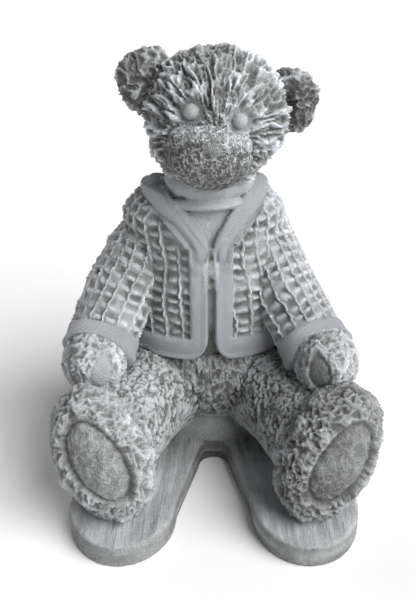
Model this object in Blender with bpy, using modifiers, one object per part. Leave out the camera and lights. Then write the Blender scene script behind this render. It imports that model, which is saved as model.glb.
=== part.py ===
"""Seated teddy bear statue, cast in one piece of grey cast stone with the board it sits on.

Run with: blender --background --python part.py
Metres, +Z up. The bear faces -Y and its own right side is at -X. The origin ends at the middle of the
bounding box, on the underside of the board.

The bear's forms and carving are laid out in figure units, one of which is FIGURE_HEIGHT / 360, with z = 0
on the top of the board. The board has its own sizes in metres.
"""

import math

import bmesh
import bpy
import numpy as np
from mathutils import Euler, Matrix, Vector
from mathutils.kdtree import KDTree

# Driving dimensions of the bear
FIGURE_HEIGHT = 0.360
UNIT = FIGURE_HEIGHT / 360
SINK = 0.004
VOXEL = 0.0020
SMOOTH_PASSES = 3
FIGURE_TRIANGLES = 9000

# Driving dimensions of the board, in metres
BOARD_THICKNESS = 0.020
BOARD_WIDTH = 0.244
BOARD_BACK = 0.116
BOARD_BACK_CORNER = 0.085
LOBE_WIDTH = 0.090
LOBE_LENGTH = 0.053
LOBE_REACH = 0.135
ARCH_WIDTH = 0.028
BOARD_EDGE_ROUND = 0.0025

# Sizes of the carving, in figure units
EDGE_BAND = 16.0
HEM_BAND = 24.0
BAND_RISE = 1.8
LAPEL_RISE = 2.6
LAPEL_WIDTH = 9.0
SHIRT_DROP = 4.0
HEM_CORNER = 17.0
HEM_HEIGHT = 87.0
V_BOTTOM = 197.0
PANEL_GAP = 3.0
OPENING_X = -2.0
OPENING_SPREAD = 0.72
COLLAR_TOP = 247.0
COLLAR_DROP = 13.0
TORSO_LADDERS = 15
SLEEVE_LADDERS = 15
TAB_WIDTH = 14.0
TAB_BOTTOM = 158.0
TAB_RISE = 1.6
CUFF_LENGTH = 13.0
CUFF_LEAN = 0.45
KNIT_RISE = 3.4
RUNG_RISE = 2.2
KNIT_DROP = 1.6
RUNG_PITCH = 10.5
PAD_WIDTH = 44.0
PAD_LENGTH = 74.0
PAD_LEAN = 11.0
PAD_GROOVE = 4.5
FOOT_RIM_SIDE = 18.0
FOOT_RIM_END = 21.0
PALM_WIDTH = 18.0
PALM_LENGTH = 25.0

STONE_COLOUR = (0.33, 0.34, 0.345, 1.0)
STONE_ROUGHNESS = 0.85


class Ball:
    """An ellipsoid of one region, turned by XYZ angles in degrees."""

    def __init__(self, region, centre, radii, turn=(0, 0, 0)):
        self.region = region
        self.centre = np.array(centre, float)
        self.radii = np.array(radii, float)
        self.turn = Euler([math.radians(a) for a in turn]).to_matrix()

    def moved(self, matrix):
        made = Ball(self.region, matrix @ Vector(self.centre), self.radii)
        made.turn = matrix.to_3x3() @ self.turn
        return made

    def distance(self, points):
        local = (points - self.centre) @ np.array(self.turn) / self.radii
        near = np.linalg.norm(local, axis=1) + 1e-9
        slope = np.linalg.norm(local / self.radii, axis=1) + 1e-9
        return near * (near - 1) / slope

    def add_to(self, shape):
        place = Matrix.LocRotScale(Vector(self.centre), self.turn, Vector(self.radii))
        bmesh.ops.create_icosphere(shape, subdivisions=4, radius=1, matrix=place)


class Limb:
    """A round, tapering run through knots of (x, y, z, radius)."""

    STEPS = 6

    def __init__(self, region, knots):
        self.region = region
        self.knots = np.array(knots, float)
        self.line = smooth_line(self.knots, self.STEPS)

    def moved(self, matrix):
        centres = [matrix @ Vector(k[:3]) for k in self.knots]
        return Limb(self.region, [(*c, k[3]) for c, k in zip(centres, self.knots)])

    def along(self, points):
        """For each point: distance to the skin, length run along the limb, and where on its axis that is."""
        best = np.full(len(points), 1e9)
        run = np.zeros(len(points))
        foot = np.zeros((len(points), 3))
        reached = 0.0
        for start, end in zip(self.line[:-1], self.line[1:]):
            step = end - start
            length = np.linalg.norm(step[:3])
            share = np.clip((points - start[:3]) @ step[:3] / length**2, 0, 1)
            axis = start[:3] + share[:, None] * step[:3]
            gap = np.linalg.norm(points - axis, axis=1) - (start[3] + share * step[3])
            nearer = gap < best
            best[nearer] = gap[nearer]
            run[nearer] = reached + share[nearer] * length
            foot[nearer] = axis[nearer]
            reached += length
        return best, run, foot

    def distance(self, points):
        return self.along(points)[0]

    def add_to(self, shape):
        for x, y, z, radius in self.line:
            place = Matrix.LocRotScale(Vector((x, y, z)), None, Vector((radius,) * 3))
            bmesh.ops.create_icosphere(shape, subdivisions=3, radius=1, matrix=place)


class Stack:
    """A closed body through upright elliptical sections: rows of (z, x, y, half-width, half-depth)."""

    STEPS = 4
    SIDES = 64

    def __init__(self, region, rows, place=None):
        self.region = region
        self.rows = np.array(rows, float)
        self.line = smooth_line(self.rows, self.STEPS)
        self.place = place or Matrix()

    def moved(self, matrix):
        return Stack(self.region, self.rows, matrix @ self.place)

    def section(self, z):
        """Middle x and y, half-width and half-depth at a height."""
        return [np.interp(z, self.line[:, 0], self.line[:, i]) for i in range(1, 5)]

    def distance(self, points):
        x, y, z = inside_out(self.place, points).T
        mid_x, mid_y, wide, deep = self.section(z)
        u, v = (x - mid_x) / wide, (y - mid_y) / deep
        share = np.hypot(u, v) + 1e-9
        side = share * (share - 1) / (np.hypot(u / wide, v / deep) + 1e-9)
        return np.maximum(side, np.maximum(self.line[0, 0] - z, z - self.line[-1, 0]))

    def add_to(self, shape):
        rings = []
        for i, (z, x, y, wide, deep) in enumerate(self.line):
            place = self.place @ Matrix.LocRotScale(Vector((x, y, z)), None, Vector((wide, deep, 1)))
            capped = i in (0, len(self.line) - 1)
            ring = bmesh.ops.create_circle(shape, cap_ends=capped, segments=self.SIDES, radius=1, matrix=place)
            own = set(ring["verts"])
            rings.append([e for e in shape.edges if all(v in own for v in e.verts)])
        for low, high in zip(rings[:-1], rings[1:]):
            bmesh.ops.bridge_loops(shape, edges=low + high)
        bmesh.ops.recalc_face_normals(shape, faces=shape.faces)


def smooth_line(knots, steps):
    """A Catmull-Rom run through the knots, each with its radius."""
    ends = np.vstack([2 * knots[0] - knots[1], knots, 2 * knots[-1] - knots[-2]])
    line = []
    for a, b, c, d in zip(ends[:-3], ends[1:-2], ends[2:-1], ends[3:]):
        for t in np.arange(steps) / steps:
            line.append(
                0.5 * (2 * b + (c - a) * t + (2 * a - 5 * b + 4 * c - d) * t**2
                       + (3 * b - a - 3 * c + d) * t**3)
            )
    line.append(knots[-1])
    return np.array(line)


# The bear's forms, in figure units
HEAD_CENTRE = Vector((2, 40, 297))
HEAD_TURN = Matrix.Translation(HEAD_CENTRE) @ Matrix.Rotation(math.radians(8), 4, "Y")
HEAD = [
    Ball("head", (0, 0, 3), (57, 54, 50)),
    Ball("head", (-2, 2, -16), (48, 46, 40)),
    Ball("head", (-3, -21, -23), (43, 31, 29)),
    Ball("muzzle", (-3, -31, -22), (35, 38, 29), (-12, 0, 0)),
    Ball("muzzle", (-3, -47, -9), (32, 21, 15)),
    Ball("nose", (-1, -64, -10), (9, 6, 5.5)),
    Ball("ear", (-58, 4, 20), (23, 12, 24), (0, 0, 12)),
    Ball("ear", (56, 6, 20), (25, 12, 25), (0, 0, -12)),
    Ball("eye", (-21, -49, 12), (5.8, 5.8, 5.8)),
    Ball("eye", (16, -49.5, 10.5), (5.8, 5.8, 5.8)),
]
EARS = {-1: Vector((-58, -8, 22)), 1: Vector((57, -6, 20))}

TORSO_AXIS_Y = 56.0
TORSO_TURN = (
    Matrix.Translation((-6, TORSO_AXIS_Y, 0))
    @ Matrix.Rotation(math.radians(6), 4, "Z")
    @ Matrix.Translation((0, -TORSO_AXIS_Y, 0))
)
TORSO = [
    Stack("cardigan", [(60, 2, 58, 66, 46), (90, 3, 58, 74, 54), (112, 3, 58, 76, 57), (132, 3, 58, 76, 57),
                       (152, 1, 57, 73, 56), (172, 0, 56, 70, 53), (192, -2, 54, 69, 50), (206, -3, 52, 70, 47),
                       (216, -3, 51, 70, 45), (224, -3, 50, 65, 42), (232, -3, 49, 58, 40), (239, -3, 48, 52, 38)]),
    Ball("neck", (0, 36, 247), (38, 35, 19)),
    Ball("neck", (-2, 36, 232.5), (38, 36, 8)),
    Limb("collar", [(7, 9, 187, 7), (6.5, 8.4, 197, 7.5), (11.5, 10.5, 207, 8.5), (20.5, 13.8, 219, 9),
                    (32, 21, 230.5, 9), (42.5, 39, 238.5, 8.5), (42, 62, 237, 7.5), (24, 82, 230, 6.5),
                    (-3, 88, 226, 6.5), (-30, 82, 230, 6.5), (-48, 62, 237, 7.5), (-48.5, 39, 239, 8.5),
                    (-38, 21, 230.5, 9), (-24.5, 13.8, 219, 9), (-15.5, 10.5, 207, 8.5),
                    (-10.5, 8.4, 197, 7.5), (-11, 9, 187, 7)]),
]
SLEEVES = {
    -1: Limb("sleeve", [(-50, 58, 196, 27), (-67, 40, 174, 29), (-80, 27, 152, 30),
                        (-92, 11, 127, 30), (-101, -5, 103, 29)]),
    1: Limb("sleeve", [(38, 68, 197, 26), (49, 52, 172, 28), (61, 36, 148, 29),
                       (77, 17, 122, 29), (92, -1, 100, 29)]),
}
HANDS = {
    -1: Ball("hand", (-103, -21, 101), (26, 28, 28), (25, 0, 0)),
    1: Ball("hand", (97, -21, 101), (26, 28, 28), (25, 0, 0)),
}
LOWER = [
    Ball("lap", (0, 62, 53), (74, 57, 62)),
    Ball("lap", (-60, 20, 66), (26, 30, 22)),
    Ball("lap", (58, 20, 66), (26, 30, 22)),
    Ball("seat", (0, 50, -10), (64, 54, 38)),
    Limb("leg", [(-36, 60, 38, 46), (-66, 5, 41, 43), (-88, -55, 44, 42)]),
    Limb("leg", [(36, 60, 38, 46), (66, 5, 41, 43), (88, -55, 44, 42)]),
]
FOOT = (PAD_WIDTH / 2 + FOOT_RIM_SIDE, 31, PAD_LENGTH / 2 + FOOT_RIM_END)
FEET = {
    -1: Ball("foot", (-91, -82, 52), FOOT, (-13, -27, -14)),
    1: Ball("foot", (94, -82, 53), FOOT, (-13, 30, 15)),
}
PAD_SHIFT = {-1: 8.0, 1: -2.0}


def figure_forms():
    """Every form in its place."""
    head = [form.moved(HEAD_TURN) for form in HEAD]
    torso = [form.moved(TORSO_TURN) for form in TORSO]
    return [*head, *torso, *SLEEVES.values(), *HANDS.values(), *LOWER, *FEET.values()]


FORMS = figure_forms()
REGIONS = sorted({form.region for form in FORMS})


def cuff_plane(limb):
    """Where a sleeve ends: a point on its axis and the way the arm points."""
    end = limb.line[-1][:3]
    way = end - limb.line[-4][:3]
    at = end + way / np.linalg.norm(way) * 4
    way = way / np.linalg.norm(way) - np.array((0, CUFF_LEAN, 0))
    return at, way / np.linalg.norm(way)


def region_distances(points):
    """Each region's distance to the points, with the cardigan cut at its hem and the sleeves at their cuffs."""
    found = {name: np.full(len(points), 1e9) for name in REGIONS}
    for form in FORMS:
        gap = form.distance(points)
        if form.region == "cardigan":
            gap = np.maximum(gap, HEM_HEIGHT - points[:, 2])
        if form.region == "sleeve":
            at, way = cuff_plane(form)
            gap = np.maximum(gap, (points - at) @ way)
        found[form.region] = np.minimum(found[form.region], gap)
    return found


def figure_distance(points):
    return np.min(list(region_distances(points).values()), axis=0)


def ramp(value, low, high):
    """0 below low, 1 above high, and smooth between."""
    t = np.clip((value - low) / (high - low), 0, 1)
    return t * t * (3 - 2 * t)


def inside_out(matrix, points):
    """The points in the frame that the matrix places."""
    return (points - np.array(matrix.translation)) @ np.array(matrix.to_3x3())


def panel_edge(points):
    """Distance in from the cardigan's open front edge, collar edge and hem. Negative is outside."""
    x, y, z = inside_out(TORSO_TURN, points).T
    half_gap = PANEL_GAP + OPENING_SPREAD * np.maximum(z - V_BOTTOM, 0)
    slope = np.where(z > V_BOTTOM, 1 / math.hypot(1, OPENING_SPREAD), 1)
    from_gap = (np.abs(x - OPENING_X) - half_gap) * slope
    from_hem = (z - HEM_HEIGHT) * EDGE_BAND / HEM_BAND
    from_top = COLLAR_TOP - COLLAR_DROP * ramp(y, TORSO_AXIS_Y, TORSO_AXIS_Y + 36) - z
    corner = HEM_CORNER - np.hypot(from_gap - HEM_CORNER, from_hem - HEM_CORNER)
    at_corner = (from_gap < HEM_CORNER) & (from_hem < HEM_CORNER)
    inner = np.where(at_corner, corner, np.minimum(from_gap, from_hem))
    return np.minimum(np.where(y > TORSO_AXIS_Y, from_hem, inner), from_top)


def ladder(across, along):
    """Knitted ladders: ridge lines where across is whole, with rungs a pitch apart between them."""
    column = np.floor(across)
    share = across - column
    off_line = np.minimum(share, 1 - share)
    line = np.maximum(0, 1 - off_line / 0.2)
    phase = np.mod(along / RUNG_PITCH + 0.5 * np.mod(column, 2), 1)
    rung = np.maximum(0, 1 - np.abs(phase - 0.5) / 0.25) * ramp(off_line, 0.05, 0.25)
    return np.maximum(KNIT_RISE * line, RUNG_RISE * rung) - KNIT_DROP


def cardigan_relief(points, to_collar):
    """The edge band, the ladders behind it, the bare shirt in the opening and the tab across it."""
    x, y, z = inside_out(TORSO_TURN, points).T
    edge = panel_edge(points)
    mid_x, mid_y, wide, deep = TORSO[0].section(z)
    around = np.arctan2(np.abs(x - mid_x) / wide, (mid_y - y) / deep) / math.pi
    knit = ladder(TORSO_LADDERS * around, z)
    in_band = 1 - ramp(edge, EDGE_BAND - 1.2, EDGE_BAND + 1.2)
    lapel = BAND_RISE + LAPEL_RISE * (1 - ramp(to_collar, 0, LAPEL_WIDTH))
    rise = lapel * in_band + knit * (1 - in_band)
    in_panel = ramp(edge, -1.2, 1.2)
    rise = rise * in_panel - SHIRT_DROP * (1 - in_panel)
    front = y < TORSO_AXIS_Y
    tab = front * ramp(TAB_WIDTH / 2 - np.abs(x - OPENING_X), -0.8, 0.8) * ramp(z, TAB_BOTTOM, TAB_BOTTOM + 2)
    tab = tab * (1 - ramp(z, V_BOTTOM, V_BOTTOM + 2))
    return rise * (1 - tab) + (BAND_RISE + TAB_RISE) * tab


def sleeve_relief(points, limb):
    """Ladders down the sleeve and a plain cuff."""
    _, run, foot = limb.along(points)
    out = points - foot
    turn = np.arctan2(out[:, 0], -out[:, 1]) / (2 * math.pi)
    knit = ladder(SLEEVE_LADDERS * turn, run)
    at, way = cuff_plane(limb)
    cuff = ramp((points - at) @ way, -CUFF_LENGTH - 1.2, -CUFF_LENGTH + 1.2)
    return knit * (1 - cuff) + BAND_RISE * cuff


def pad_share(points, foot, side):
    """How far out a point of the sole lies, where 1 is the pad's rim. Large on the back of the foot."""
    x, y, z = ((points - foot.centre) @ np.array(foot.turn)).T
    lean = math.radians(PAD_LEAN) * side
    x = x - PAD_SHIFT[side]
    across, along = x * math.cos(lean) - z * math.sin(lean), x * math.sin(lean) + z * math.cos(lean)
    share = np.hypot(across / (PAD_WIDTH / 2), along / (PAD_LENGTH / 2))
    return np.where(y < 0, share, 9.0)


def palm_share(points, hand, side):
    """The same for the bare palm on the inner front of a hand."""
    x, y, z = ((points - hand.centre) @ np.array(hand.turn)).T
    share = np.hypot((x + side * 9) / (PALM_WIDTH / 2), (z - 12) / (PALM_LENGTH / 2))
    return np.where(y < 0, share, 9.0)


def pad_relief(share):
    """A groove round a low, domed pad."""
    dome = -1.5 - 2.0 * ramp(share, 0.55, 1.0)
    groove = PAD_GROOVE * np.exp(-((share - 1.0) / 0.08) ** 2)
    return np.where(share < 1.12, dome - groove * 0.6, 0.0)


def ear_relief(points):
    """The hollow of each ear."""
    local = inside_out(HEAD_TURN, points)
    drop = np.zeros(len(points))
    for side, at in EARS.items():
        off = local - np.array(at) + np.array((side * 7.0, 0, 5.0))
        share = np.hypot(off[:, 0] / 15, off[:, 2] / 16)
        front = local[:, 1] < at.y + 12
        drop += np.where(front & (side * local[:, 0] > 42), -7.0 * (1 - ramp(share, 0.3, 1.1)), 0)
    return drop


# Locks of fur by region: spacing, length, width and rise, in figure units
FUR = {
    "head": (9.5, 26.0, 9.0, 4.6),
    "muzzle": (9.0, 10.0, 6.0, 1.0),
    "ear": (10.0, 17.0, 9.0, 3.4),
    "lap": (9.5, 17.0, 8.0, 2.8),
    "leg": (9.5, 17.0, 8.0, 2.8),
    "foot": (10.5, 18.0, 10.0, 3.6),
    "hand": (10.0, 16.0, 8.0, 2.2),
}
NOSE_BRIDGE = np.array((0.0, -12.0, 292.0))


def flow(region, points):
    """The way the fur lies."""
    if region == "head":
        away = points - NOSE_BRIDGE
        cheek = ramp(-points[:, 2], -300, -280)[:, None]
        back = ramp(points[:, 1], 30, 60)[:, None]
        toward = -away * (1 - cheek) + away * np.array((1, 1, 0.2)) * cheek
        return toward * (1 - back) + np.array((0, 0, -60.0)) * back
    if region == "muzzle":
        return points - np.array((0, -36, 285))
    if region == "foot":
        centres = np.where(points[:, :1] < 0, FEET[-1].centre[None], FEET[1].centre[None])
        return centres + np.array((0, -30, 0)) - points
    if region == "leg":
        side = np.sign(points[:, :1])
        return np.hstack([side * 0.5, -np.ones_like(side), -0.4 * np.ones_like(side)])
    if region == "ear":
        return np.where(points[:, :1] < 0, np.array((-52, 0, 322.0)), np.array((60, 0, 300.0))) - points
    return np.tile((0.0, -0.2, -1.0), (len(points), 1))


def outward(points):
    """The figure's outward direction at the points."""
    step = 0.6
    grad = [figure_distance(points + step * axis) - figure_distance(points - step * axis) for axis in np.eye(3)]
    grad = np.array(grad).T
    return grad / (np.linalg.norm(grad, axis=1, keepdims=True) + 1e-9)


def lock_roots(region, spacing, seed):
    """Points on the skin of a region, from a jittered lattice, with their outward directions."""
    rng = np.random.default_rng(seed)
    low, high = np.array((-150, -125, -4)), np.array((150, 125, 365))
    axes = [np.arange(a, b, spacing) for a, b in zip(low, high)]
    lattice = np.stack(np.meshgrid(*axes, indexing="ij"), axis=-1).reshape(-1, 3)
    lattice = lattice + rng.uniform(-0.3, 0.3, lattice.shape) * spacing
    found = region_distances(lattice)
    skin = np.min(list(found.values()), axis=0)
    near = (np.abs(skin) < spacing / 2) & (found[region] <= skin + 0.01)
    roots = lattice[near]
    out = outward(roots)
    return roots - out * skin[near][:, None], out, rng


def raise_locks(region, points, tree, height, seed):
    """Adds one region's locks to the height of the points, each a sharp crest that tapers to its tip."""
    spacing, length, width, rise = FUR[region]
    roots, outs, rng = lock_roots(region, spacing, seed)
    ways = flow(region, roots)
    for root, out, way in zip(roots, outs, ways):
        way = way - out * (way @ out)
        way = way / (np.linalg.norm(way) + 1e-9)
        side = np.cross(out, way)
        turn = rng.normal(0, 0.22)
        way, side = way * math.cos(turn) + side * math.sin(turn), side * math.cos(turn) - way * math.sin(turn)
        reach = length * rng.uniform(0.8, 1.2) / 2
        bend = rng.normal(0, 0.12) / reach
        tall = rise * rng.uniform(0.75, 1.2)
        index = np.array([found[1] for found in tree.find_range(root, reach * 1.05)], int)
        if not len(index):
            continue
        rel = points[index] - root
        t = (rel @ way) / reach
        across = np.abs(rel @ side - bend * (rel @ way) ** 2)
        half = width / 2 * np.clip(1.15 - 0.75 * np.maximum(t, -0.2) ** 2, 0.1, 1.2)
        crest = np.clip(1 - across / half, 0, 1)
        run = ramp(t, -1.0, -0.3) * (1 - ramp(t, 0.55, 1.0))
        lift = tall * crest * run * (0.75 + 0.25 * np.clip(t, -1, 1))
        lift[np.abs(rel @ out) > reach] = 0
        height[index] = np.maximum(height[index], lift)


def carve(points):
    """The height of the carving at each point of the plain figure."""
    found = region_distances(points)
    names = list(found)
    gaps = np.array([found[name] for name in names])
    label = np.array(names)[np.argmin(gaps, axis=0)]
    height = np.zeros(len(points))
    eyes = np.array([form.centre for form in FORMS if form.region == "eye"])
    to_eye = np.linalg.norm(points[:, None] - eyes, axis=2).min(axis=1)
    tree = KDTree(len(points))
    for i, point in enumerate(points):
        tree.insert(point, i)
    tree.balance()
    for seed, region in enumerate(FUR):
        fur = np.zeros(len(points))
        raise_locks(region, points, tree, fur, seed)
        fur = fur * ramp(to_eye, 7, 17) * ramp(points[:, 2], -2, 8)
        height += np.where(label == region, fur - FUR[region][3] * 0.35, 0)
    face = np.isin(label, ("head", "muzzle"))
    height[face] -= 1.8 * (1 - ramp(to_eye[face], 6, 14))
    cardigan = label == "cardigan"
    height[cardigan] += cardigan_relief(points[cardigan], found["collar"][cardigan])
    for side, limb in SLEEVES.items():
        mine = (label == "sleeve") & (np.sign(points[:, 0]) == side)
        height[mine] += sleeve_relief(points[mine], limb)
    for side, foot in FEET.items():
        mine = (label == "foot") & (np.sign(points[:, 0]) == side)
        share = pad_share(points[mine], foot, side)
        bare = 1 - ramp(share, 1.0, 1.15)
        height[mine] = height[mine] * (1 - bare) + pad_relief(share)
    for side, hand in HANDS.items():
        mine = (label == "hand") & (np.sign(points[:, 0]) == side)
        bare = 1 - ramp(palm_share(points[mine], hand, side), 0.95, 1.15)
        height[mine] = height[mine] * (1 - bare) - bare
    ear = label == "ear"
    height[ear] += ear_relief(points[ear])
    return height


def new_object(name, mesh, collection):
    obj = bpy.data.objects.new(name, mesh)
    collection.objects.link(obj)
    return obj


def evaluated_mesh(obj):
    """A new mesh of the object with its modifiers in effect."""
    bpy.context.view_layer.update()
    graph = bpy.context.evaluated_depsgraph_get()
    return bpy.data.meshes.new_from_object(obj.evaluated_get(graph))


def outer_skin(mesh):
    """Drops whatever isn't joined to the highest vertex: pockets closed off inside the forms."""
    shape = bmesh.new()
    shape.from_mesh(mesh)
    reached = {max(shape.verts, key=lambda v: v.co.z)}
    front = list(reached)
    while front:
        for edge in front.pop().link_edges:
            for vert in edge.verts:
                if vert not in reached:
                    reached.add(vert)
                    front.append(vert)
    bmesh.ops.delete(shape, geom=[v for v in shape.verts if v not in reached], context="VERTS")
    shape.to_mesh(mesh)
    shape.free()


def cut_forms(forms):
    """A mesh of closed, overlapping shapes in figure units, cut at the hem and the cuffs."""
    whole = bmesh.new()
    for form in forms:
        shape = bmesh.new()
        form.add_to(shape)
        if form.region in ("cardigan", "sleeve"):
            at, way = (0, 0, HEM_HEIGHT), (0, 0, -1)
            if form.region == "sleeve":
                at, way = cuff_plane(form)
            everything = shape.verts[:] + shape.edges[:] + shape.faces[:]
            cut = bmesh.ops.bisect_plane(shape, geom=everything, plane_co=at, plane_no=way, clear_outer=True)
            rim = [e for e in cut["geom_cut"] if isinstance(e, bmesh.types.BMEdge)]
            bmesh.ops.holes_fill(shape, edges=rim)
        piece = bpy.data.meshes.new("piece")
        shape.to_mesh(piece)
        shape.free()
        whole.from_mesh(piece)
        bpy.data.meshes.remove(piece)
    mesh = bpy.data.meshes.new("forms")
    whole.to_mesh(mesh)
    whole.free()
    return mesh


def carved_figure(workshop):
    """The whole bear in metres, above the board, closed and thinned to its number of triangles."""
    rough = new_object("rough_figure", cut_forms(FORMS), workshop)
    remesh = rough.modifiers.new("join", "REMESH")
    remesh.mode = "VOXEL"
    remesh.voxel_size = VOXEL / UNIT
    smooth = rough.modifiers.new("soften", "SMOOTH")
    smooth.iterations = SMOOTH_PASSES
    skin = evaluated_mesh(rough)
    bpy.data.objects.remove(rough)
    outer_skin(skin)
    points = np.empty(len(skin.vertices) * 3)
    skin.vertices.foreach_get("co", points)
    points = points.reshape(-1, 3)
    normals = np.empty(len(skin.vertices) * 3)
    skin.vertices.foreach_get("normal", normals)
    points = points + normals.reshape(-1, 3) * carve(points)[:, None]
    points[:, 2] = np.maximum(points[:, 2], -SINK / UNIT)
    points = points * UNIT + np.array((0, 0, BOARD_THICKNESS))
    skin.vertices.foreach_set("co", points.ravel())
    skin.update()
    figure = new_object("figure", skin, workshop)
    thin = figure.modifiers.new("thin", "DECIMATE")
    thin.use_collapse_triangulate = True
    thin.ratio = FIGURE_TRIANGLES / (2 * len(skin.polygons))
    return figure


def arc(centre, radii, start, end, steps):
    """Points on an ellipse from one angle to another, in degrees."""
    angles = np.radians(np.linspace(start, end, steps))
    return [(centre[0] + radii[0] * math.cos(a), centre[1] + radii[1] * math.sin(a)) for a in angles]


def board_outline():
    """The board seen from above: a round back, and a lobe under each leg with an arch between them."""
    lobe_x = (BOARD_WIDTH - LOBE_WIDTH) / 2
    lobe_y = -LOBE_REACH + LOBE_LENGTH
    corner = BOARD_BACK_CORNER
    half = arc((0, -ARCH_WIDTH / 2), (ARCH_WIDTH / 2,) * 2, 90, 0, 6)
    half += arc((lobe_x, lobe_y), (LOBE_WIDTH / 2, LOBE_LENGTH), 180, 360, 20)
    half += arc((BOARD_WIDTH / 2 - corner, BOARD_BACK - corner), (corner, corner), 0, 90, 10)
    return half + [(-x, y) for x, y in reversed(half[1:])]


def board(workshop):
    """The board as a closed mesh in metres, resting on z = 0."""
    curve = bpy.data.curves.new("board_outline", "CURVE")
    curve.dimensions = "2D"
    curve.fill_mode = "BOTH"
    curve.extrude = BOARD_THICKNESS / 2
    outline = board_outline()
    spline = curve.splines.new("POLY")
    spline.points.add(len(outline) - 1)
    for point, (x, y) in zip(spline.points, outline):
        point.co = (x, y, 0, 1)
    spline.use_cyclic_u = True
    flat = new_object("flat_board", curve, workshop)
    flat.location.z = BOARD_THICKNESS / 2
    mesh = evaluated_mesh(flat)
    mesh.transform(flat.matrix_world)
    bpy.data.objects.remove(flat)
    shape = bmesh.new()
    shape.from_mesh(mesh)
    bmesh.ops.remove_doubles(shape, verts=shape.verts, dist=1e-6)
    bmesh.ops.dissolve_limit(shape, angle_limit=0.001, verts=shape.verts, edges=shape.edges)
    top = [e for e in shape.edges if all(v.co.z > BOARD_THICKNESS * 0.9 for v in e.verts)]
    bmesh.ops.bevel(shape, geom=top, offset=BOARD_EDGE_ROUND, segments=2, affect="EDGES")
    shape.to_mesh(mesh)
    shape.free()
    return new_object("board", mesh, workshop)


def stone():
    made = bpy.data.materials.new("cast_stone")
    made.use_nodes = True
    shader = made.node_tree.nodes["Principled BSDF"]
    shader.inputs["Base Color"].default_value = STONE_COLOUR
    shader.inputs["Roughness"].default_value = STONE_ROUGHNESS
    return made


def main():
    for old in list(bpy.data.objects):
        bpy.data.objects.remove(old)
    scene = bpy.context.scene.collection
    workshop = bpy.data.collections.new("workshop")
    statue_parts = bpy.data.collections.new("teddy_bear_statue")
    scene.children.link(workshop)
    scene.children.link(statue_parts)

    figure = carved_figure(workshop)
    ground = board(workshop)
    statue = new_object("teddy_bear_statue", evaluated_mesh(ground), statue_parts)
    union = statue.modifiers.new("cast_in_one", "BOOLEAN")
    union.operation = "UNION"
    union.object = figure
    joined = evaluated_mesh(statue)
    statue.modifiers.clear()
    corners = np.array([v.co for v in joined.vertices])
    middle = (corners.min(axis=0) + corners.max(axis=0)) / 2
    joined.transform(Matrix.Translation((-middle[0], -middle[1], 0)))
    statue.data = joined
    joined.materials.clear()
    joined.materials.append(stone())
    for helper in (figure, ground):
        bpy.data.objects.remove(helper)
    bpy.data.collections.remove(workshop)


main()
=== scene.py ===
"""Seated teddy bear of grey cast stone on its board: the carved skin, the stone and a plain studio.

The forms and the carving are laid out in figure units: one unit is
FIGURE_HEIGHT / 360 and z = 0 is the top of the board. The bear faces -Y, and its own right side is at -X.
"""

import math
from typing import NamedTuple

import bmesh
import bpy
import numpy as np
from mathutils import Euler, Matrix, Vector

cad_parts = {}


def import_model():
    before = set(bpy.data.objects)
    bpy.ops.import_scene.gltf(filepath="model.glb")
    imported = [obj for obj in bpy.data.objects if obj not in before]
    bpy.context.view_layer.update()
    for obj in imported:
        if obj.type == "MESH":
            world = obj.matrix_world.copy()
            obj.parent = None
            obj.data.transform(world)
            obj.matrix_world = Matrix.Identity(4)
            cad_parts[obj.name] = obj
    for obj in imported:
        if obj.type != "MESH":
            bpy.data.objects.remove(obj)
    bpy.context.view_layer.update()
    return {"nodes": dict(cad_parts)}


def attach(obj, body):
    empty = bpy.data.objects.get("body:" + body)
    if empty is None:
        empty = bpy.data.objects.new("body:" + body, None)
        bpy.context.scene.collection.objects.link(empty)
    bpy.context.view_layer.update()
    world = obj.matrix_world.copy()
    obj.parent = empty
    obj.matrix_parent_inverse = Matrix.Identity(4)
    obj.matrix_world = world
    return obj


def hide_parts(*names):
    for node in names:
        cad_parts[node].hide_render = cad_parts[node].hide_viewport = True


NODE = "teddy_bear_statue"
FIGURE_HEIGHT = 0.360
UNIT = FIGURE_HEIGHT / 360
SMOOTH_PASSES = 3
MARKS = ("crest", "weave", "stipple", "grain")
HASH_SIZE = 4096
HASH_PRIMES = (73856093, 19349663, 83492791)

# The board, in figure units
BOARD_THICKNESS = 20.0
BOARD_WIDTH = 244.0
BOARD_BACK = 116.0
BOARD_BACK_CORNER = 85.0
LOBE_WIDTH = 90.0
LOBE_LENGTH = 53.0
LOBE_REACH = 135.0
ARCH_WIDTH = 28.0
BOARD_ROUNDING = 3.0

# The cardigan
EDGE_BAND = 16.0
EDGE_SOFTNESS = 0.8
HEM_BAND = 24.0
BAND_RISE = 2.4
LAPEL_RISE = 2.6
LAPEL_WIDTH = 9.0
SHIRT_DROP = 4.5
HEM_CORNER = 17.0
HEM_HEIGHT = 87.0
V_BOTTOM = 197.0
PANEL_GAP = 2.6
OPENING_X = -2.0
OPENING_SPREAD = 0.72
COLLAR_TOP = 247.0
COLLAR_DROP = 13.0
COLLAR_DROP_RUN = 36.0
COLLAR_EDGE_SLOPE = 1.5
SHIRT_TONE = 0.48
SHIRT_RIB_RISE = 0.5
SHIRT_RIB_PITCH = 2.2
TAB_WIDTH = 14.0
TAB_BOTTOM = 158.0
TAB_RIM = 1.0
TAB_HOLES = (9.0, 30.0)
HOLE_DEPTH = 2.2
HOLE_SPREAD = 3.2
CUFF_LENGTH = 18.0
CUFF_LEAN = 0.45
CUFF_ROLL = 1.8

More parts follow.
